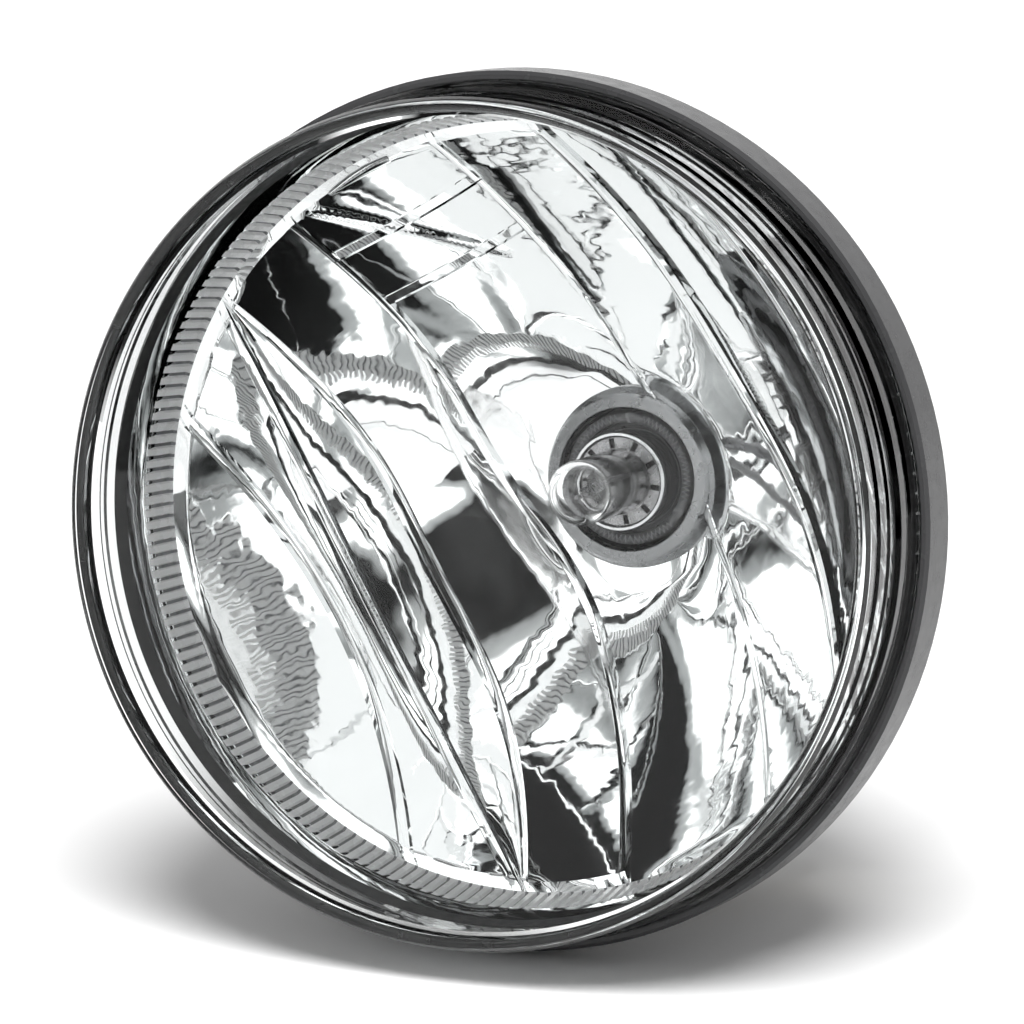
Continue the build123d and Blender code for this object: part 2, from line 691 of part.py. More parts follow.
def bulb_terminals():
    """Two flat blades standing in the connector."""
    centre = blade_spacing / 2
    blade = block((centre - blade_width / 2, centre + blade_width / 2),
                  (cavity_middle - blade_thickness / 2, cavity_middle + blade_thickness / 2),
                  (cavity_floor - blade_length, cavity_floor))
    return both_sides(blade)


def connector_seal():
    """Silicone frame round the root of the blades."""
    half_x = shroud_width / 2 - shroud_wall - slip
    half_y = (shroud_thickness - shroud_wall - shroud_front_wall) / 2 - slip

    def slab(inset, bottom, top):
        return block((-half_x + inset, half_x - inset),
                     (cavity_middle - half_y + inset, cavity_middle + half_y - inset),
                     (bottom, top))
    outer = slab(0, cavity_floor - frame_height, cavity_floor)
    return outer - slab(frame_width, cavity_floor - frame_height - over, cavity_floor + over)


def bulb_seal():
    """Rubber ring in the groove of the base, against the neck's bore."""
    front = groove_front + slip
    rear = groove_front + seal_width - slip
    inner = base_barrel_radius - seal_depth
    outer = neck_bore_radius - running
    return turned(
        (inner, front), (outer - seal_bevel, front), (outer, front + seal_bevel),
        (outer, rear - seal_bevel), (outer - seal_bevel, rear), (inner, rear))


def bracket_bolts():
    """(x, z) of the four bolt centres."""
    return [(sx * bolt_spacing_x / 2, sz * bolt_spacing_z / 2) for sx in (-1, 1) for sz in (-1, 1)]


def mounting_bracket():
    """Nylon ring with four bolt bosses, two pivot cheeks and the adjuster's tab."""
    front = mount_depth - ring_thickness
    frame = along_y(ring_outer_radius, front, mount_depth)
    for x, z in bracket_bolts():
        frame += along_y(bolt_boss_radius, bolt_boss_front, mount_depth, x, z)
    inside_ring = ring_inner_radius - over
    arm = make_face(Polyline(
        (inside_ring, y_at(front)), (cheek_inner - arm_bevel, y_at(front)),
        (cheek_inner, y_at(front - arm_bevel)), (cheek_inner, y_at(pivot_depth)),
        (cheek_outer, y_at(pivot_depth)), (cheek_outer, y_at(cheek_bend_depth)),
        (ring_outer_radius + cheek_splay, y_at(mount_depth)), (inside_ring, y_at(mount_depth)),
        close=True))
    arm = extrude(arm, cheek_half_width, both=True)
    arm += along_x(cheek_half_width, cheek_inner, cheek_outer, pivot_depth)
    frame += both_sides(arm)
    frame += block((-tab_radius, tab_radius), (tab_front, tab_rear), (-aim_drop, -ring_inner_radius))
    frame += along_y(tab_radius, tab_front, tab_rear, 0, -aim_drop)
    frame -= along_y(ring_inner_radius, front - over, mount_depth + over)
    for x, z in bracket_bolts():
        frame -= along_y(sleeve_radius, bolt_boss_front - over, mount_depth + over, x, z)
    frame -= both_sides(along_x(bush_radius, cheek_inner - over, cheek_outer + over, pivot_depth))
    frame -= along_y(aim_screw_radius + running, tab_front - over, tab_rear + over, 0, -aim_drop)
    return frame


def compression_sleeves():
    """Four steel tubes that carry the bolts' clamp load through the bracket."""
    sleeves = Part()
    for x, z in bracket_bolts():
        tube = along_y(sleeve_radius, bolt_boss_front, mount_depth, x, z)
        bore = along_y(bolt_hole_radius, bolt_boss_front - over, mount_depth + over, x, z)
        sleeves += tube - bore
    return sleeves


def pivot_bushes():
    """Flanged bearing in each cheek."""
    flange_end = cheek_outer + bush_flange
    bush = along_x(bush_radius, cheek_inner, flange_end, pivot_depth)
    bush += along_x(bush_radius + bush_flange_over, cheek_outer, flange_end, pivot_depth)
    bore = along_x(shoulder_radius + running, cheek_inner - over, flange_end + over, pivot_depth)
    return both_sides(bush - bore)


def pivot_washers():
    """Friction washer between each housing boss and cheek; it stays with the bracket."""
    start = pivot_face + face_gap
    end = cheek_inner
    bore_radius = shoulder_radius + running
    washer = along_x(bore_radius + pivot_washer_width, start, end, pivot_depth)
    return both_sides(washer - along_x(bore_radius, start - over, end + over, pivot_depth))


def pivot_screws():
    """Shoulder screws that the lamp tilts on; each is fixed in the housing's insert."""
    seat = cheek_outer + bush_flange + face_gap
    top = seat + pivot_head_height
    screw = along_x(shoulder_radius, pivot_face, seat, pivot_depth)
    screw += along_x(pivot_thread_radius, pivot_face - insert_length, pivot_face, pivot_depth)
    head = along_x(pivot_head_radius, seat, top, pivot_depth)
    head = chamfer(head.faces().sort_by(Axis.X)[-1].edges(), pivot_head_bevel)
    key = extrude(RegularPolygon(pivot_key_radius, 6), pivot_key_depth, both=True)
    head -= Pos(top, y_at(pivot_depth), 0) * Rot(0, 90, 0) * key
    return both_sides(screw + head)


def pivot_inserts():
    """Brass threaded insert in each pivot boss."""
    tube = along_x(insert_radius, pivot_face - insert_length, pivot_face, pivot_depth)
    tube -= along_x(pivot_thread_radius, 0, pivot_face + over, pivot_depth)
    return both_sides(tube)


def aim_screw():
    """Adjuster screw: plain through the tab, threaded through the barrel nut."""
    shaft = along_y(aim_screw_radius, aim_tip_depth, knob_rear - knob_end_wall, 0, -aim_drop)
    shaft = chamfer(shaft.faces().sort_by(Axis.Y)[0].edges(), aim_tip_bevel)
    return shaft - clip_ring(2 * clip_radius)


def clip_ring(radius):
    """Ring from the root of the screw's groove out to a radius, as thick as the clip."""
    rear = clip_front + clip_thickness
    ring = along_y(radius, clip_front, rear, 0, -aim_drop)
    return ring - along_y(aim_screw_radius - clip_groove, clip_front - over, rear + over, 0, -aim_drop)


def aim_clip():
    """Open retaining clip in the screw's groove, in front of the tab."""
    mouth = block((-clip_mouth, clip_mouth), (clip_front - over, clip_front + clip_thickness + over),
                  (-aim_drop - 2 * clip_radius, -aim_drop))
    return clip_ring(clip_radius) - mouth


def aim_washer():
    """Plain washer between the tab and the knob."""
    front = tab_rear + face_gap
    rear = front + aim_washer_thickness
    washer = along_y(knob_radius - over, front, rear, 0, -aim_drop)
    return washer - along_y(aim_screw_radius + running, front - over, rear + over, 0, -aim_drop)


def aim_knob():
    """Fluted knob with a hexagon socket, pressed on the end of the adjuster screw."""
    knob = along_y(knob_radius, knob_front, knob_rear, 0, -aim_drop)
    knob = chamfer(knob.faces().sort_by(Axis.Y)[-1].edges(), knob_bevel)
    flute_circle = knob_radius + knob_flute_offset
    for index in range(knob_flute_count):
        angle = 2 * math.pi * index / knob_flute_count
        x = flute_circle * math.cos(angle)
        z = flute_circle * math.sin(angle) - aim_drop
        knob -= along_y(knob_flute_radius, knob_front - over, knob_rear + over, x, z)
    knob -= along_y(aim_screw_radius, knob_front - over, knob_rear - knob_end_wall, 0, -aim_drop)
    key = extrude(RegularPolygon(knob_key_radius, 6), knob_end_wall)
    return knob - Pos(0, y_at(knob_rear), -aim_drop) * Rot(90, 0, 0) * key


def aim_nut():
    """Barrel nut that turns in the housing's lug as the lamp tilts."""
    nut = along_x(aim_nut_radius, -aim_nut_half_length, aim_nut_half_length, pivot_depth, -aim_drop)
    reach = aim_nut_radius + over
    return nut - along_y(aim_screw_radius + thread_clearance, pivot_depth - reach,
                         pivot_depth + reach, 0, -aim_drop)


pieces = {
    "lens": lens,
    "lens_gasket": lens_gasket,
    "lens_adhesive": lens_adhesive,
    "reflector": reflector,
    "reflector_screws": reflector_screws,
    "rear_housing": rear_housing,
    "vent_cap": vent_cap,
    "vent_membrane": vent_membrane,
    "pivot_inserts": pivot_inserts,
    "pivot_screws": pivot_screws,
    "mounting_bracket": mounting_bracket,
    "compression_sleeves": compression_sleeves,
    "pivot_bushes": pivot_bushes,
    "pivot_washers": pivot_washers,
    "aim_washer": aim_washer,
    "aim_screw": aim_screw,
    "aim_clip": aim_clip,
    "aim_knob": aim_knob,
    "aim_nut": aim_nut,
    "bulb_glass": bulb_glass,
    "bulb_filament": bulb_filament,
    "bulb_supports": bulb_supports,
    "bulb_stem": bulb_stem,
    "bulb_disc": bulb_disc,
    "bulb_cup": bulb_cup,
    "bulb_base": bulb_base,
    "bulb_seal": bulb_seal,
    "bulb_terminals": bulb_terminals,
    "connector_seal": connector_seal,
}

os.makedirs("parts", exist_ok=True)
for name, make in pieces.items():
    export_step(make(), f"parts/{name}.step")
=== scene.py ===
import math

import bmesh
import bpy
from mathutils import Matrix, Vector


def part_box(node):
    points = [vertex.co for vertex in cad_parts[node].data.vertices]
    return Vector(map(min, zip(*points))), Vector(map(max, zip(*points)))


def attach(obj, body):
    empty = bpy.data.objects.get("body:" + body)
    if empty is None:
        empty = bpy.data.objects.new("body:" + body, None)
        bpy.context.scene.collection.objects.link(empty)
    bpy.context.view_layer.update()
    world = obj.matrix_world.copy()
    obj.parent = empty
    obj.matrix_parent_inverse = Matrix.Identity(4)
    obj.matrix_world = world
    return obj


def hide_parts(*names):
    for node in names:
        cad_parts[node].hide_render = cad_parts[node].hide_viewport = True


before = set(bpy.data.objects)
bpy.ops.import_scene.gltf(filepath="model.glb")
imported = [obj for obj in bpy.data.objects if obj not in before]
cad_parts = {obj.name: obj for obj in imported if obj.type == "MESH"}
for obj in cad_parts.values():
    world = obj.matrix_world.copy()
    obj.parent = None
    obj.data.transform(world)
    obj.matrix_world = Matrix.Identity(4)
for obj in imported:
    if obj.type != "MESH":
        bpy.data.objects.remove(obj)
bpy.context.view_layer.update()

# Round vehicle fog light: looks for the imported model.
# Metres, in the model's frame: optical axis Y, the lamp faces -Y, +Z up as fitted.
# A "depth" is measured back along the axis from the front crest of the lens, in mm.

MM = 0.001
LENS_DOME_AHEAD = 2.1        # centre of the lens face in front of its crest
crest_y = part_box("lens")[0].y + LENS_DOME_AHEAD * MM


def y_at(depth):
    return crest_y + depth * MM


# ---- sizes of the visible pieces, in mm ---------------------------------------------
MOUTH_RADIUS = 53.12
MOUTH_DEPTH = 26.0
VERTEX_DEPTH = 67.5
FOCAL_LENGTH = MOUTH_RADIUS ** 2 / (4 * (VERTEX_DEPTH - MOUTH_DEPTH))
HOLE_RADIUS = 10.0
GLASS_RADIUS = 4.6
GLASS_TIP = 41.5
GLASS_REAR = 61.6
GLASS_WALL, GLASS_TIP_WALL = 0.8, 0.9
FOCUS = VERTEX_DEPTH - FOCAL_LENGTH


# ---- small helpers --------------------------------------------------------------------
def colour(hexa):
    """Linear RGBA of an sRGB hex colour."""
    parts = [int(hexa[i:i + 2], 16) / 255 for i in (1, 3, 5)]
    return [c / 12.92 if c <= 0.04045 else ((c + 0.055) / 1.055) ** 2.4 for c in parts] + [1.0]


def put(tree, kind, settings=None, **inputs):
    """Adds a node, sets its properties, and sets or links its inputs (i6 is input 6)."""
    node = tree.nodes.new(kind)
    for key, value in (settings or {}).items():
        setattr(node, key, value)
    for key, value in inputs.items():
        numbered = key[0] == "i" and key[1:].isdigit()
        socket = node.inputs[int(key[1:]) if numbered else key.replace("_", " ")]
        if isinstance(value, bpy.types.NodeSocket):
            tree.links.new(value, socket)
        else:
            socket.default_value = value
    return node


def select_only(obj):
    bpy.ops.object.select_all(action="DESELECT")
    obj.select_set(True)
    bpy.context.view_layer.objects.active = obj


def add_grid(name, columns, rows, size):
    """Flat grid with so many points each way, to be shaped point by point."""
    bpy.ops.object.select_all(action="DESELECT")
    bpy.ops.mesh.primitive_grid_add(x_subdivisions=columns - 1, y_subdivisions=rows - 1,
                                    size=size)
    obj = bpy.context.object
    obj.name = obj.data.name = name
    return obj


def weld(inside=False):
    """In edit mode: merges doubled points, turns the faces one way and leaves edit mode."""
    bpy.ops.mesh.select_all(action="SELECT")
    bpy.ops.mesh.remove_doubles(threshold=1e-6)
    bpy.ops.mesh.normals_make_consistent(inside=inside)
    bpy.ops.object.mode_set(mode="OBJECT")


def lathe(name, pairs, steps=192, closed=True, angle=30.0):
    """Piece turned about the optical axis from (radius, depth) pairs in mm."""
    bpy.ops.object.select_all(action="DESELECT")
    bpy.ops.mesh.primitive_plane_add(size=MM)
    obj = bpy.context.object
    obj.name = obj.data.name = name
    bpy.ops.object.mode_set(mode="EDIT")
    bpy.ops.mesh.select_all(action="SELECT")
    bpy.ops.mesh.merge(type="CENTER")
    points = [Vector((max(r, 0.0) * MM, y_at(d), 0)) for r, d in pairs]
    bpy.ops.transform.translate(value=points[0])
    for last, now in zip(points, points[1:]):
        bpy.ops.mesh.extrude_region_move(TRANSFORM_OT_translate={"value": now - last})
    if closed:
        mesh = bmesh.from_edit_mesh(obj.data)
        mesh.verts.ensure_lookup_table()
        for v in mesh.verts:
            v.select_set(False)
        ends = [v for v in mesh.verts if len(v.link_edges) == 1]
        for v in ends:
            v.select_set(True)
        bmesh.update_edit_mesh(obj.data)
        if len(ends) == 2:
            bpy.ops.mesh.edge_face_add()
    bpy.ops.mesh.select_all(action="SELECT")
    bpy.ops.mesh.spin(steps=steps, angle=math.tau, center=(0, 0, 0), axis=(0, 1, 0))
    bpy.ops.mesh.select_all(action="SELECT")
    bpy.ops.mesh.remove_doubles(threshold=2e-6)
    bpy.ops.mesh.dissolve_degenerate(threshold=1e-7)
    bpy.ops.mesh.select_all(action="SELECT")
    bpy.ops.mesh.normals_make_consistent(inside=False)
    bpy.ops.object.mode_set(mode="OBJECT")
    bpy.ops.object.shade_smooth_by_angle(angle=math.radians(angle))
    return obj


def cad_copy(node, name, material, body, angle=30.0):
    """Merged copy of a CAD node with smooth faces, which stands for it."""
    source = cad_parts[node]
    obj = bpy.data.objects.new(name, source.data.copy())
    obj.data.name = name
    bpy.context.scene.collection.objects.link(obj)
    select_only(obj)
    bpy.ops.object.mode_set(mode="EDIT")
    bpy.ops.mesh.select_all(action="SELECT")
    bpy.ops.mesh.remove_doubles(threshold=1e-6)
    bpy.ops.object.mode_set(mode="OBJECT")
    bpy.ops.object.shade_smooth_by_angle(angle=math.radians(angle))
    even = obj.modifiers.new("even_shading", "WEIGHTED_NORMAL")
    even.mode = "FACE_AREA"
    even.weight = 100
    even.keep_sharp = True
    bpy.ops.object.modifier_apply(modifier=even.name)
    dress(obj, material, body)
    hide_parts(node)
    return obj


def dress(obj, material, body):
    """Gives a piece its material and the body that it rides on."""
    obj.data.materials.clear()
    obj.data.materials.append(material)
    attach(obj, body)
    return obj


# ---- materials ------------------------------------------------------------------------
def surface(name, **inputs):
    """New material with one Principled shader; returns material, tree and shader."""
    material = bpy.data.materials.new(name)
    material.use_nodes = True
    tree = material.node_tree
    tree.nodes.clear()
    shader = put(tree, "ShaderNodeBsdfPrincipled", **inputs)
    put(tree, "ShaderNodeOutputMaterial", Surface=shader.outputs[0])
    return material, tree, shader


def object_coords(tree):
    """Position in the piece's own frame."""
    return put(tree, "ShaderNodeTexCoord").outputs["Object"]


def grain(tree, scale, detail=3.0, coords=None):
    """Noise pattern that stays with the piece."""
    return put(tree, "ShaderNodeTexNoise", Vector=coords or object_coords(tree), Scale=scale,
               Detail=detail)


def spread(tree, source, low, high, start=0.35, end=0.65):
    """Maps a 0 to 1 pattern to a range of values."""
    return put(tree, "ShaderNodeMapRange", Value=source, From_Min=start, From_Max=end,
               To_Min=low, To_Max=high).outputs[0]


def blend(tree, share, first, second):
    """Colour between two others."""
    return put(tree, "ShaderNodeMix", {"data_type": "RGBA"}, i0=share, i6=first,
               i7=second).outputs[2]


def times(hexa, factor):
    """Linear colour made lighter or darker, up to white."""
    return [min(1.0, c * factor) for c in colour(hexa)[:3]] + [1.0]


def relief(tree, shader, height, strength, distance):
    """Fine bump from a height pattern."""
    bump = put(tree, "ShaderNodeBump", Height=height, Strength=strength, Distance=distance)
    tree.links.new(bump.outputs[0], shader.inputs["Normal"])


def clear_polycarbonate():
    """Hard-coated polycarbonate, moulded: clear, glossy, with very faint flow waviness."""
    material, tree, shader = surface(
        "clear_polycarbonate", Base_Color=colour("#fbfcfc"), IOR=1.49, Roughness=0.0,
        Transmission_Weight=1.0, Specular_Tint=colour("#8a8a8a"))
    wave = grain(tree, 45.0, 1.0)
    relief(tree, shader, wave.outputs[0], 0.05, 0.0002)
    return material


def metallised_bowl():
    """Vacuum-metallised lacquer over moulded plastic: a bright mirror with a soft orange peel."""
    material, tree, shader = surface(
        "metallised_bowl", Base_Color=colour("#f1f2f2"), Metallic=1.0, Roughness=0.02)
    peel = grain(tree, 160.0, 2.0)
    relief(tree, shader, peel.outputs[0], 0.12, 0.0004)
    haze = grain(tree, 900.0, 3.0)
    tree.links.new(spread(tree, haze.outputs[0], 0.015, 0.045), shader.inputs["Roughness"])
    return material


def gloss_black_shell():
    """Glossy moulded polypropylene: near-black with a clear sheen and fine moulding ripple."""
    material, tree, shader = surface(
        "gloss_black_shell", Base_Color=colour("#3b3b3c"), Roughness=0.2, Specular_IOR_Level=0.2)
    fine = grain(tree, 500.0, 4.0)
    tree.links.new(spread(tree, fine.outputs[0], 0.2, 0.28), shader.inputs["Roughness"])
    relief(tree, shader, fine.outputs[0], 0.02, 0.00005)
    return material


def plain_moulding(name, hexa, rough, scale, strength):
    """Matt moulded plastic: spark-eroded texture, slightly uneven in tone."""
    material, tree, shader = surface(name, Roughness=rough)
    fine = grain(tree, scale, 5.0)
    tone = blend(tree, grain(tree, 60.0, 2.0).outputs[0], colour(hexa), times(hexa, 1.25))
    tree.links.new(tone, shader.inputs["Base Color"])
    tree.links.new(spread(tree, fine.outputs[0], rough - 0.08, rough + 0.08),
                   shader.inputs["Roughness"])
    relief(tree, shader, fine.outputs[0], strength, 0.0002)
    return material


def metal(name, hexa, rough, scale, stretch=(1, 1, 1)):
    """Plated or turned metal: fine marks along the surface, with uneven brightness."""
    material, tree, shader = surface(name, Metallic=1.0, Roughness=rough)
    coords = put(tree, "ShaderNodeMapping", Vector=object_coords(tree), Scale=stretch).outputs[0]
    marks = grain(tree, scale, 4.0, coords)
    tone = blend(tree, marks.outputs[0], times(hexa, 0.8), colour(hexa))
    tree.links.new(tone, shader.inputs["Base Color"])
    tree.links.new(spread(tree, marks.outputs[0], rough * 0.7, rough * 1.4),
                   shader.inputs["Roughness"])
    relief(tree, shader, marks.outputs[0], 0.08, 0.0001)
    return material


def bulb_quartz():
    """Drawn hard glass, fire-polished: clear, with faint draw lines along the capsule."""
    material, tree, shader = surface(
        "bulb_quartz", Base_Color=colour("#ffffff"), IOR=1.47, Roughness=0.0,
        Transmission_Weight=1.0)
    coords = put(tree, "ShaderNodeMapping", Vector=object_coords(tree),
                 Scale=(1, 0.1, 1)).outputs[0]
    relief(tree, shader, grain(tree, 400.0, 2.0, coords).outputs[0], 0.1, 0.0003)
    return material


lens_clear = clear_polycarbonate()
mirror_bowl = metallised_bowl()
shell_black = gloss_black_shell()
quartz = bulb_quartz()
# EPDM rubber, moulded: soft black, hardly any sheen
gasket_black = plain_moulding("epdm_gasket", "#0c0c0c", 0.5, 900.0, 0.1)
# painted shade: flat, even black for the dark ring behind the front bead and for the well round
# the bulb cup
painted_black = plain_moulding("painted_shade_black", "#050505", 0.35, 900.0, 0.02)
# glass-filled nylon, moulded: rough dark skin with the fibres showing faintly
bracket_nylon = plain_moulding("glass_filled_nylon", "#161617", 0.55, 1500.0, 0.25)
# unfilled nylon in its own colour, moulded: waxy cream
natural_nylon = plain_moulding("natural_nylon", "#cfc9b8", 0.45, 900.0, 0.1)
# phenolic resin, moulded: mid grey with a dull sheen
base_grey = plain_moulding("bulb_base_phenolic", "#868687", 0.3, 900.0, 0.1)
# silicone rubber, moulded: brick red and soft
silicone = plain_moulding("silicone_seal", "#7a1d16", 0.5, 600.0, 0.1)
# sintered polymer membrane: chalky off-white with open pores
membrane_cloth = plain_moulding("sintered_membrane", "#d8d8d4", 0.85, 3000.0, 0.4)
# sealant run into a channel and cured: black with an uneven skin
adhesive_black = plain_moulding("channel_adhesive", "#101010", 0.4, 500.0, 0.3)
# zinc-plated steel: cool grey, faintly grained
zinc_plate = metal("zinc_plated_steel", "#b9bcc0", 0.3, 1200.0)
# brass turned on a lathe: warm, with rings round the axis
brass_turned = metal("turned_brass", "#c9a256", 0.28, 900.0, (1, 8, 1))
# nickel-plated strip, pressed: bright and smooth
nickel_plate = metal("nickel_plated_strip", "#d4d5d6", 0.16, 900.0)
# metallised flutes: too fine for single reflections, so their reflections are painted: plain white
# lands as a painted reflection and grey recesses as painted shade
flute_painted_reflection = plain_moulding("metallised_flutes_painted_reflection", "#ffffff", 0.25, 300.0, 0.0)
recess_painted_shade = plain_moulding("metallised_flute_recess_painted_shade", "#77787a", 0.3, 300.0, 0.0)
# steel disc, pressed: darker than the plated strip beside it
disc_metal = metal("pressed_disc_steel", "#9a9a9b", 0.25, 900.0)
# metallised lacquer on the hole's edge, thinner there: a greyer mirror
collar_metal = metal("metallised_hole_collar", "#8f9091", 0.22, 600.0)
# drawn tungsten wire: dull grey metal
tungsten_wire = metal("tungsten_wire", "#8c8c8e", 0.35, 3000.0)

# ---- lens -----------------------------------------------------------------------------
LENS_WALL, LENS_DOME, DOME_STEPS = 2.6, 4.0, 24
BEAD_INNER, BEAD_OUTER, FACE_EDGE = 55.8, 57.9, 1.9
SKIRT_INNER, LENS_CORNER = 55.8, 0.6
SKIRT_NECK = (57.3, 2.3)           # (radius, depth) of the groove behind the bead
# (radius, depth) of each step of the skirt, from the front to the rear
SKIRT_STEPS = ((57.7, 6.5), (58.0, 9.5), (58.7, 12.0), (59.0, 15.1))
STEP_RAMP, STEP_ROUND = 0.5, 0.06
SKIRT_END, FOOT_RADIUS, FOOT_END = 18.4, 58.85, 22.5
RING_STEPS = 256                   # segments of the large turned rings


def dome(edge_radius, edge_depth, height, count):
    """(radius, depth) points of a shallow dome from the axis to its edge."""
    sphere = (edge_radius ** 2 + height ** 2) / (2 * height)
    reach = math.asin(edge_radius / sphere)
    return [(sphere * math.sin(reach * i / count),
             edge_depth - height + sphere * (1 - math.cos(reach * i / count)))
            for i in range(count + 1)]


def bead(count=10):
    """Points over the rounded front bead, from inside to outside."""
    points = []
    for i in range(1, count):
        t = i / count
        radius = BEAD_INNER + (BEAD_OUTER - BEAD_INNER) * t
        points.append((radius, FACE_EDGE * (1 - math.sin(math.pi * t) ** 0.8)))
    return points


def lens_piece():
    """Clear cap: domed face, rounded bead, stepped skirt and a foot that stands in the channel."""
    steps = [(BEAD_OUTER, FACE_EDGE), SKIRT_NECK]
    last = SKIRT_NECK[0]
    for radius, depth in SKIRT_STEPS:
        steps += [(last, depth - STEP_RAMP), (radius - STEP_ROUND, depth - STEP_ROUND),
                  (radius, depth + STEP_ROUND)]
        last = radius
    foot = [(last, SKIRT_END), (FOOT_RADIUS, SKIRT_END), (FOOT_RADIUS, FOOT_END),
            (SKIRT_INNER, FOOT_END)]
    inner_edge = FACE_EDGE + LENS_WALL
    inside = [(SKIRT_INNER, inner_edge + LENS_CORNER)]
    inside += dome(SKIRT_INNER - LENS_CORNER, inner_edge, LENS_DOME, DOME_STEPS)[::-1]
    outside = dome(BEAD_INNER, FACE_EDGE, LENS_DOME, DOME_STEPS) + bead()
    return lathe("lens_cap", outside + steps + foot + inside, RING_STEPS, closed=False,
                 angle=22)


lens = dress(lens_piece(), lens_clear, "lamp")
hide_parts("lens")

# wedge of rubber between the skirt and the reflector's lip
GASKET_OUTLINE = [(55.75, 12.6), (55.75, 15.1), (55.2, 15.1)]
gasket = dress(lathe("lens_gasket_ring", GASKET_OUTLINE, RING_STEPS),
               gasket_black, "lamp")
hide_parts("lens_gasket")

# painted shade: a black ring inside the back of the front bead, in place of the dark edge that the
# clear bead shows
BEAD_SHADE_OUTLINE = [(56.7, 1.95), (57.7, 1.95), (57.32, 2.25), (56.7, 2.25)]
dress(lathe("bead_edge_painted_shade", BEAD_SHADE_OUTLINE, RING_STEPS),
      painted_black, "lamp")

# ---- reflector ------------------------------------------------------------------------
# x at rest of each ridge between the optical columns, left to right, and how far it swells
# sideways, at what height, over what height
RIDGE_REST = [-39.7, -33.0, -26.0, -12.3, 12.5, 26.2, 40.0]
RIDGE_SWELL = ((0, 0, 1), (0, 0, 1), (-2.2, 0, 18), (-3.4, 10, 17), (-4.4, -4, 38),
               (-3.0, 6, 22), (0, 0, 1))
# the second ridge is a curved crease: its middle, how far its ends lean in, at what height,
# and how near it comes to the third ridge
CREASE = 1
CREASE_MIDDLE, CREASE_LEAN, CREASE_HEIGHT, CREASE_GAP = -36.6, 10.5, 46, 0.7


def ridge_lines(z):
    """X of each ridge at a height, in mm, left to right."""
    lines = [rest + swell * math.exp(-((z - centre) / width) ** 2)
             for rest, (swell, centre, width) in zip(RIDGE_REST, RIDGE_SWELL)]
    lines[CREASE] = min(lines[CREASE + 1] - CREASE_GAP,
                        CREASE_MIDDLE + CREASE_LEAN * (z / CREASE_HEIGHT) ** 2)
    return lines


# two level ledges cross the middle column above the bulb: their heights, the step at each,
# the width and rise of the ledge itself, and the width of its edges
MIDDLE = 4
LEDGES = (36.6, 44.3)
LEDGE_STEP, LEDGE_WIDTH, LEDGE_RISE, LEDGE_EDGE = 0.78, 1.0, 0.4, 0.12
LEDGE_FALL = 0.6                   # share of the rise lost across the ledge


def column_x(rest, z):
    """Moves a column line from its rest position to follow the ridges at a height."""
    now = [-MOUTH_RADIUS, *ridge_lines(z), MOUTH_RADIUS]
    was = [-MOUTH_RADIUS, *RIDGE_REST, MOUTH_RADIUS]
    for a, b, c, d in zip(was, was[1:], now, now[1:]):
        if a <= rest <= b:
            return c + (d - c) * (rest - a) / (b - a)
    return rest


# forward stand and sideways bulge of each column, left to right
COLUMN_STAND = (0.5, 1.5, 0.5, 1.6, 0.2, 1.3, 0.4, 1.4)
COLUMN_BULGE = (0.5, -0.5, 0.5, 0.9, -0.8, 0.8, -0.6, 0.5)
# half width, edge, rise and half crown of a ridge, and the rise at its edges as a share
RIDGE_HALF, RIDGE_EDGE, RIDGE_RISE, RIDGE_CROWN, EDGE_SHARE = 0.62, 0.14, 0.4, 0.16, 0.85
# slanting rib above the first ledge: x there, lean, half width, rise, and height it grows over
RIB_X, RIB_LEAN, RIB_HALF, RIB_RISE, RIB_GROW = 3.5, 0.9, 0.7, 0.35, 3.0
# the relief fades over these distances from the bulb hole and the mouth
HOLE_FADE, MOUTH_FADE, LIFT_AT_HOLE = 6.0, 1.5, 0.25
GRID_PITCH = 0.5


def column_lift(index, x, z, low, high):
    """How far one optical column stands in front of the plain paraboloid."""
    w = 2 * (x - low) / max(high - low, 0.01) - 1
    lift = COLUMN_STAND[index] + COLUMN_BULGE[index] * (1 - w * w)
    if index == MIDDLE:
        lift += LEDGE_STEP * sum(z > ledge - LEDGE_WIDTH / 2 - LEDGE_EDGE / 2
                                 for ledge in LEDGES)
    return lift


def bowl_depth(x, z, rest, on_ridge, ledge_top):
    """Depth of the reflector's face at a point; rest says which column it belongs to."""
    radius = math.hypot(x, z)
    base = VERTEX_DEPTH - (x * x + z * z) / (4 * FOCAL_LENGTH)
    edges = [-MOUTH_RADIUS, *ridge_lines(z), MOUTH_RADIUS]
    index = sum(rest > r for r in RIDGE_REST)
    lift = column_lift(index, x, z, edges[index], edges[index + 1])
    if on_ridge is not None:
        sides = [column_lift(on_ridge + k, edges[on_ridge + 1], z, edges[on_ridge + k],
                             edges[on_ridge + k + 1]) for k in (0, 1)]
        on_crown = abs(rest - RIDGE_REST[on_ridge]) < 2 * RIDGE_CROWN
        lift = max(sides) + RIDGE_RISE * (1.0 if on_crown else EDGE_SHARE)
    elif ledge_top and index == MIDDLE:
        near = min(LEDGES, key=lambda ledge: abs(z - ledge))
        lift += LEDGE_RISE * (1 - LEDGE_FALL * (z - near) / LEDGE_WIDTH)
    above = z - LEDGES[0]
    if index == MIDDLE and above > -RIB_GROW:
        rib = (x - (RIB_X - RIB_LEAN * above)) / RIB_HALF
        lift += RIB_RISE * math.exp(-rib * rib) * min(1.0, (above + RIB_GROW) / RIB_GROW)
    fade = min(1.0, max(0.0, (radius - HOLE_RADIUS) / HOLE_FADE))
    rim = min(1.0, max(0.0, (MOUTH_RADIUS - radius) / MOUTH_FADE))
    return base - lift * (LIFT_AT_HOLE + (1 - LIFT_AT_HOLE) * fade) * rim


EDGE_INSET = 0.02                 # keeps points just off the edges of the mouth and the hole
LEDGE_HALF, LEDGE_REACH = 12.0, 13.5    # half length of a ledge, and x up to which rows bend
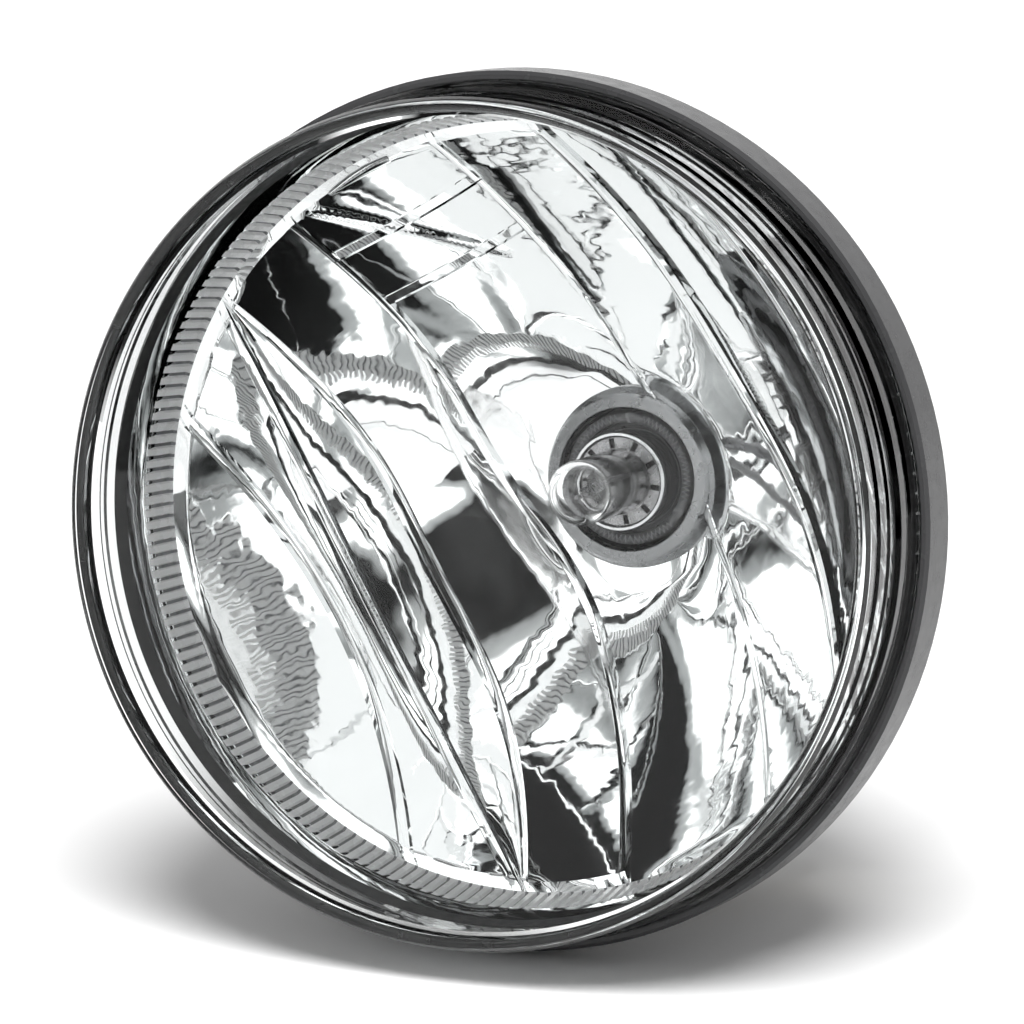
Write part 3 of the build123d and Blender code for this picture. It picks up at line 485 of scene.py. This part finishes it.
# rows from the hole up: the plain bowl, then a ledge's lower edge, top and upper edge, twice
ROWS_BELOW, ROWS_EDGE, ROWS_TOP, ROWS_ABOVE = 62, 1, 2, 12


def grid_columns():
    """(x at rest, number of the ridge it lies on or None) of each column of points."""
    columns = []
    edges = [-MOUTH_RADIUS + EDGE_INSET, *RIDGE_REST, MOUTH_RADIUS - EDGE_INSET]
    for i, (a, b) in enumerate(zip(edges, edges[1:])):
        ridge_follows = i < len(edges) - 2
        start = a + (RIDGE_HALF if i else 0)
        end = b - (RIDGE_HALF if ridge_follows else 0)
        count = max(4, int((end - start) / GRID_PITCH))
        columns += [(start + (end - start) * k / count, None) for k in range(count + 1)]
        if ridge_follows:
            columns += [(b - RIDGE_HALF + RIDGE_EDGE, i), (b - RIDGE_CROWN, i),
                        (b + RIDGE_CROWN, i), (b + RIDGE_HALF - RIDGE_EDGE, i)]
    return columns


def reflector_bowl():
    """Metallised bowl: strips between upright ridges, ledges, a curved crease and a hole."""
    lines = grid_columns()
    outer = math.sqrt(MOUTH_RADIUS ** 2 - LEDGE_HALF ** 2)
    marks = [0.0]
    for ledge in LEDGES:
        marks += [ledge - LEDGE_WIDTH / 2 - LEDGE_EDGE, ledge - LEDGE_WIDTH / 2,
                  ledge + LEDGE_WIDTH / 2, ledge + LEDGE_WIDTH / 2 + LEDGE_EDGE]
    shares = [mark / outer for mark in marks] + [1.0]
    counts = [ROWS_BELOW] + [ROWS_EDGE, ROWS_TOP, ROWS_EDGE, ROWS_ABOVE] * 2
    t_values, tops = [0.0], [False]
    for part, ((a, b), n) in enumerate(zip(zip(shares, shares[1:]), counts)):
        t_values += [a + (b - a) * k / n for k in range(1, n + 1)]
        # parts 2 and 6 are the ledges' tops; the row before each is its front edge
        tops += [part in (2, 6) or (part in (1, 5) and k == n) for k in range(1, n + 1)]

    def height(x, t):
        """Height above the axis at a share t of the way from the hole to the mouth."""
        near = math.sqrt(max(0.0, HOLE_RADIUS ** 2 - x * x))
        far = math.sqrt(max(0.0, MOUTH_RADIUS ** 2 - x * x))
        if abs(x) <= LEDGE_REACH:
            levels = [near, *marks[1:], far]
            for a, b, c, d in zip(shares, shares[1:], levels, levels[1:]):
                if a <= t <= b + 1e-9:
                    return c + (d - c) * (t - a) / (b - a)
        return near + (far - near) * t

    columns, half = len(lines), len(t_values)
    obj = add_grid("reflector_bowl", columns, 2 * half, 0.1)
    mesh = obj.data
    for number, vertex in enumerate(mesh.vertices):
        row, column = divmod(number, columns)
        rest, on_ridge = lines[column]
        side = 1 if row >= half else -1
        step = row - half if side > 0 else half - 1 - row
        x = rest
        for _ in range(4):
            z = side * height(x, t_values[step])
            x = column_x(rest, z)
        depth = bowl_depth(x, z, rest, on_ridge, tops[step] and side > 0)
        vertex.co = (x * MM, y_at(depth), z * MM)
    mesh.update()
    bpy.ops.object.mode_set(mode="EDIT")
    edit = bmesh.from_edit_mesh(mesh)
    drop = [f for f in edit.faces
            if math.hypot(*f.calc_center_median().xz) / MM < HOLE_RADIUS - EDGE_INSET]
    bmesh.ops.delete(edit, geom=drop, context="FACES")
    bmesh.update_edit_mesh(mesh)
    weld()
    if sum(p.normal.y for p in mesh.polygons) > 0:
        mesh.flip_normals()
    bpy.ops.object.shade_smooth_by_angle(angle=math.radians(14))
    return obj


bowl = dress(reflector_bowl(), mirror_bowl, "lamp")
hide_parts("reflector")

FLUTES = 200
# share of one flute's pitch, and how deep the ring's wall is cut there
FLUTE_MARKS = ((0.0, 0.0), (0.5, 0.0), (0.62, 0.45), (0.88, 0.45))
RECESS = (2, 3)                    # the marks on each side of a recess's floor
# radius, depth and share of the cut along the ring, from its front to its rear
FLUTE_ROWS = ((54.35, 19.3, 0.0), (54.2, 19.7, 1.0), (53.25, 25.7, 1.0), (53.12, 26.0, 0.0))


def flute_wall():
    """Tapered ring of fine axial flutes in front of the bowl; recess faces get slot 1, the grey
    painted shade.
    """
    per = len(FLUTE_MARKS)
    wide = FLUTES * per + 1
    obj = add_grid("fluted_ring", wide, len(FLUTE_ROWS), 1)
    for number, vertex in enumerate(obj.data.vertices):
        row, column = divmod(number, wide)
        wall, depth, cut = FLUTE_ROWS[row]
        flute, mark = divmod(column, per)
        share, groove = FLUTE_MARKS[mark]
        angle = math.tau * (flute + share) / FLUTES
        radius = wall + groove * cut
        vertex.co = (radius * math.cos(angle) * MM, y_at(depth), radius * math.sin(angle) * MM)
    obj.data.update()
    obj.data.materials.append(flute_painted_reflection)
    obj.data.materials.append(recess_painted_shade)
    for face in obj.data.polygons:
        columns = sorted(v % wide % per for v in face.vertices)
        face.material_index = int((columns[0], columns[-1]) == RECESS)
    bpy.ops.object.mode_set(mode="EDIT")
    weld(inside=True)
    bpy.ops.object.shade_smooth_by_angle(angle=math.radians(10))
    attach(obj, "lamp")
    return obj


flute_wall()
# plain lip in front of the flutes, from the gasket in
LIP_OUTLINE = [(55.55, 15.15), (55.2, 15.15), (54.35, 19.3), (54.35, 22.4), (55.55, 22.4)]
dress(lathe("reflector_lip", LIP_OUTLINE, RING_STEPS), mirror_bowl, "lamp")
# rounded collar round the bulb hole
COLLAR_OUTLINE = [(HOLE_RADIUS, 64.0), (10.3, 63.6), (11.8, 63.7), (12.2, 64.3),
                  (12.2, 69.5), (HOLE_RADIUS, 69.5)]
SMALL_RING_STEPS = 96
dress(lathe("bulb_hole_collar", COLLAR_OUTLINE, SMALL_RING_STEPS), collar_metal,
      "lamp")

# ---- every other CAD node, smoothed and given its material ------------------------------
cad_copy("rear_housing", "housing_shell", shell_black, "lamp", angle=18)
cad_copy("lens_adhesive", "channel_adhesive_bead", adhesive_black, "lamp")
cad_copy("reflector_screws", "reflector_screw_set", zinc_plate, "lamp")
cad_copy("vent_cap", "vent_umbrella", gasket_black, "lamp")
cad_copy("vent_membrane", "vent_disc", membrane_cloth, "lamp")
cad_copy("pivot_inserts", "pivot_insert_pair", brass_turned, "lamp")
cad_copy("pivot_screws", "pivot_screw_pair", zinc_plate, "lamp")
cad_copy("mounting_bracket", "bracket_ring", bracket_nylon, "bracket")
cad_copy("compression_sleeves", "sleeve_set", zinc_plate, "bracket")
cad_copy("pivot_bushes", "bush_pair", natural_nylon, "bracket")
cad_copy("pivot_washers", "friction_washer_pair", natural_nylon, "bracket")
cad_copy("aim_washer", "aim_thrust_washer", zinc_plate, "bracket")
cad_copy("aim_screw", "aim_screw_shaft", zinc_plate, "adjuster")
cad_copy("aim_clip", "aim_retaining_clip", zinc_plate, "adjuster")
cad_copy("aim_knob", "aim_adjuster_knob", natural_nylon, "adjuster")
cad_copy("aim_nut", "aim_barrel_nut", brass_turned, "nut")
cad_copy("bulb_base", "bulb_holder", base_grey, "bulb")
cad_copy("bulb_disc", "capsule_disc", disc_metal, "bulb")
cad_copy("bulb_seal", "holder_seal_ring", silicone, "bulb")
cad_copy("bulb_terminals", "plug_blades", nickel_plate, "bulb")
cad_copy("connector_seal", "plug_seal_frame", silicone, "bulb")
cad_copy("bulb_stem", "capsule_stem", quartz, "bulb")
cad_copy("bulb_supports", "filament_posts", tungsten_wire, "bulb")

# ---- bulb -----------------------------------------------------------------------------
def capsule_profile(radius, tip, rear, count=14):
    """(radius, depth) points of a tube with a round tip."""
    points = [(radius * math.sin(math.pi / 2 * i / count),
               tip + radius * (1 - math.cos(math.pi / 2 * i / count))) for i in range(count + 1)]
    return points + [(radius, rear)]


def bulb_capsule():
    outer = capsule_profile(GLASS_RADIUS, GLASS_TIP, GLASS_REAR)
    inner = capsule_profile(GLASS_RADIUS - GLASS_WALL, GLASS_TIP + GLASS_TIP_WALL,
                            GLASS_REAR)[::-1]
    return lathe("bulb_capsule", outer + inner, SMALL_RING_STEPS, closed=False, angle=40)


capsule = dress(bulb_capsule(), quartz, "bulb")
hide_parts("bulb_glass")

# metal cup with a rolled front edge and two beads round it
CUP_OUTLINE = [(6.3, 60.5), (6.55, 60.2), (6.9, 60.2), (7.15, 60.8), (6.95, 61.3), (7.1, 61.8),
               (6.9, 62.3), (6.9, 66.8), (6.3, 66.8)]
cup = dress(lathe("bulb_cup_rings", CUP_OUTLINE, SMALL_RING_STEPS, angle=50),
            nickel_plate, "bulb")
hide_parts("bulb_cup")

# painted shade: black on the floor and wall of the base's well, round the cup, where shade falls
WELL_SHADE_OUTLINE = [(7.0, 66.72), (7.95, 66.72), (7.95, 64.8), (7.85, 64.8), (7.85, 66.6),
                (7.0, 66.6)]
dress(lathe("base_well_painted_shade", WELL_SHADE_OUTLINE, SMALL_RING_STEPS), painted_black, "bulb")

WIRE_RADIUS, COIL_RADIUS, COIL_TURNS, COIL_PITCH = 0.13, 0.75, 9, 0.44


def filament_coil():
    """Fine coil across the axis at the focus, wound with a screw modifier."""
    bpy.ops.object.select_all(action="DESELECT")
    bpy.ops.mesh.primitive_circle_add(vertices=6, radius=WIRE_RADIUS * MM,
                                      rotation=(math.pi / 2, 0, 0))
    obj = bpy.context.object
    obj.name = obj.data.name = "filament_coil"
    bpy.ops.object.transform_apply(rotation=True)
    bpy.ops.object.mode_set(mode="EDIT")
    bpy.ops.mesh.select_all(action="SELECT")
    bpy.ops.transform.translate(value=(COIL_RADIUS * MM, 0, 0))
    bpy.ops.object.mode_set(mode="OBJECT")
    winding = obj.modifiers.new("winding", "SCREW")
    winding.axis = "Z"
    winding.angle = math.tau
    winding.iterations = COIL_TURNS
    winding.screw_offset = COIL_PITCH * MM
    winding.steps = winding.render_steps = 20
    bpy.ops.object.modifier_apply(modifier="winding")
    obj.data.transform(Matrix.Rotation(math.pi / 2, 4, "Y"))
    half_length = COIL_TURNS * COIL_PITCH * MM / 2
    obj.data.transform(Matrix.Translation((-half_length, y_at(FOCUS), 0)))
    bpy.ops.object.mode_set(mode="EDIT")
    bpy.ops.mesh.select_all(action="SELECT")
    bpy.ops.mesh.normals_make_consistent(inside=False)
    bpy.ops.object.mode_set(mode="OBJECT")
    bpy.ops.object.shade_smooth()
    return obj


coil = dress(filament_coil(), tungsten_wire, "bulb")
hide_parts("bulb_filament")

# ---- camera ---------------------------------------------------------------------------
# the camera stands to the right of the lamp and a little below it, rolled clockwise
azimuth, elevation, roll = math.radians(22.35), math.radians(-4.45), math.radians(27.0)
CAMERA_DISTANCE, LENS_MM, SENSOR_MM = 1.0734, 281.25, 36.0
AIM_RIGHT, AIM_UP = 7.19, 2.21     # point looked at, from the middle of the lens crest, in mm
toward = Vector((math.sin(azimuth) * math.cos(elevation), -math.cos(azimuth) * math.cos(elevation),
                 math.sin(elevation)))
level_right = (-toward).cross(Vector((0, 0, 1))).normalized()
level_up = level_right.cross(-toward).normalized()
right = level_right * math.cos(roll) - level_up * math.sin(roll)
up = level_up * math.cos(roll) + level_right * math.sin(roll)
aim = Vector((0, crest_y, 0)) + right * AIM_RIGHT * MM + up * AIM_UP * MM
camera = bpy.data.objects.new("camera", bpy.data.cameras.new("camera"))
bpy.context.scene.collection.objects.link(camera)
camera.data.sensor_width = SENSOR_MM
camera.data.lens = LENS_MM
camera.data.clip_start, camera.data.clip_end = 0.05, 20.0
turn = Matrix((right, up, toward)).transposed().to_4x4()
camera.matrix_world = Matrix.Translation(aim + toward * CAMERA_DISTANCE) @ turn
bpy.context.scene.camera = camera

# ---- floor and light --------------------------------------------------------------------
# the floor is level in the picture and touches the lamp's rim from below
FLOOR_TILT = math.radians(12.0)
FLOOR_RADIUS, FLOOR_GAP = 1.6, 0.0003
RIM_RADIUS, RIM_DEPTHS = 60.4, (18.6, 26.3)
floor_normal = (up * math.cos(FLOOR_TILT) + toward * math.sin(FLOOR_TILT)).normalized()
rim_points = [Vector((RIM_RADIUS * MM * math.cos(math.radians(a)), y_at(depth),
                      RIM_RADIUS * MM * math.sin(math.radians(a))))
              for depth in RIM_DEPTHS for a in range(360)]
lowest = min(floor_normal.dot(point) for point in rim_points)
bpy.ops.object.select_all(action="DESELECT")
bpy.ops.mesh.primitive_circle_add(vertices=96, radius=FLOOR_RADIUS, fill_type="NGON")
floor = bpy.context.object
floor.name = floor.data.name = "studio_floor"
floor.data.transform(floor_normal.to_track_quat("Z", "Y").to_matrix().to_4x4())
floor.data.transform(Matrix.Translation(floor_normal * (lowest - FLOOR_GAP)))
# uncoated white paper: matt and even
paper = surface("white_paper_sweep", Base_Color=colour("#f4f4f4"), Roughness=0.9)[0]
floor.data.materials.append(paper)

# The studio is white to the camera and to matt surfaces. What shines or is clear meets soft
# patches of dark, grey and white in front, dark flags at the sides and white panels behind.
PATCH_AT, PATCH_STRETCH, PATCH_SCALE = (2.1, 0.4, 1.3), (1.0, 1.0, 0.75), 1.9
PATCH_DETAIL, PATCH_DISTORTION = 1.5, 0.6
DARK_END, WHITE_FROM = 0.44, 0.53  # parts of the pattern that are dark and white
EDGE_DARK, EDGE_WHITE = 0.025, 0.02
# how much a direction points to the camera, from 1 to -1, where flags and white panels begin
FLAG_RANGE, BEHIND_RANGE = (-0.2, -0.1), (-0.66, -0.58)
PATCH_WHITE, PANEL_WHITE = (1.9, 1.9, 1.9, 1.0), (1.05, 1.05, 1.05, 1.0)
SUN_ENERGY, SUN_ANGLE, SUN_HEIGHT = 3.9, math.radians(28), math.radians(50)
FILL_SHARE = 0.42                  # the room's light on matt surfaces, beside the key light

world = bpy.data.worlds.new("studio")
bpy.context.scene.world = world
world.use_nodes = True
tree = world.node_tree
tree.nodes.clear()
direction = put(tree, "ShaderNodeTexCoord").outputs["Generated"]
drift = put(tree, "ShaderNodeMapping", Vector=direction, Location=PATCH_AT,
            Scale=PATCH_STRETCH).outputs[0]
patches = put(tree, "ShaderNodeTexNoise", Vector=drift, Scale=PATCH_SCALE, Detail=PATCH_DETAIL,
              Distortion=PATCH_DISTORTION)
tones = put(tree, "ShaderNodeValToRGB", Fac=patches.outputs[0])
stops = tones.color_ramp.elements
stops[0].position, stops[0].color = DARK_END, colour("#161616")
stops[1].position, stops[1].color = WHITE_FROM, PATCH_WHITE
for place, hexa in ((DARK_END + EDGE_DARK, "#a9abab"), (WHITE_FROM - EDGE_WHITE, "#cfd1d1")):
    stops.new(place).color = colour(hexa)
ray = put(tree, "ShaderNodeLightPath")
away = put(tree, "ShaderNodeVectorMath", {"operation": "DOT_PRODUCT"}, i0=direction,
           i1=toward).outputs["Value"]
flagged = spread(tree, away, 1.0, 0.0, *FLAG_RANGE)
flags = blend(tree, flagged, tones.outputs[0], colour("#1c1c1c"))
plain = put(tree, "ShaderNodeMath", {"operation": "MAXIMUM"}, i0=ray.outputs["Is Camera Ray"],
            i1=ray.outputs["Is Diffuse Ray"]).outputs[0]
behind = spread(tree, away, 1.0, 0.0, *BEHIND_RANGE)
white = put(tree, "ShaderNodeMath", {"operation": "MAXIMUM"}, i0=plain, i1=behind).outputs[0]
light = blend(tree, white, flags, PANEL_WHITE)
fill = spread(tree, ray.outputs["Is Diffuse Ray"], 1.0, FILL_SHARE, 0.0, 1.0)
background = put(tree, "ShaderNodeBackground", Color=light, Strength=fill)
put(tree, "ShaderNodeOutputWorld", Surface=background.outputs[0])

sun = bpy.data.objects.new("key_light", bpy.data.lights.new("key_light", "SUN"))
bpy.context.scene.collection.objects.link(sun)
sun.data.energy = SUN_ENERGY
sun.data.angle = SUN_ANGLE
sun.visible_glossy = sun.visible_transmission = False
shine = (floor_normal * math.sin(SUN_HEIGHT) + toward * math.cos(SUN_HEIGHT)).normalized()
sun.rotation_euler = shine.to_track_quat("Z", "Y").to_euler()

bpy.context.scene.view_settings.view_transform = "Standard"
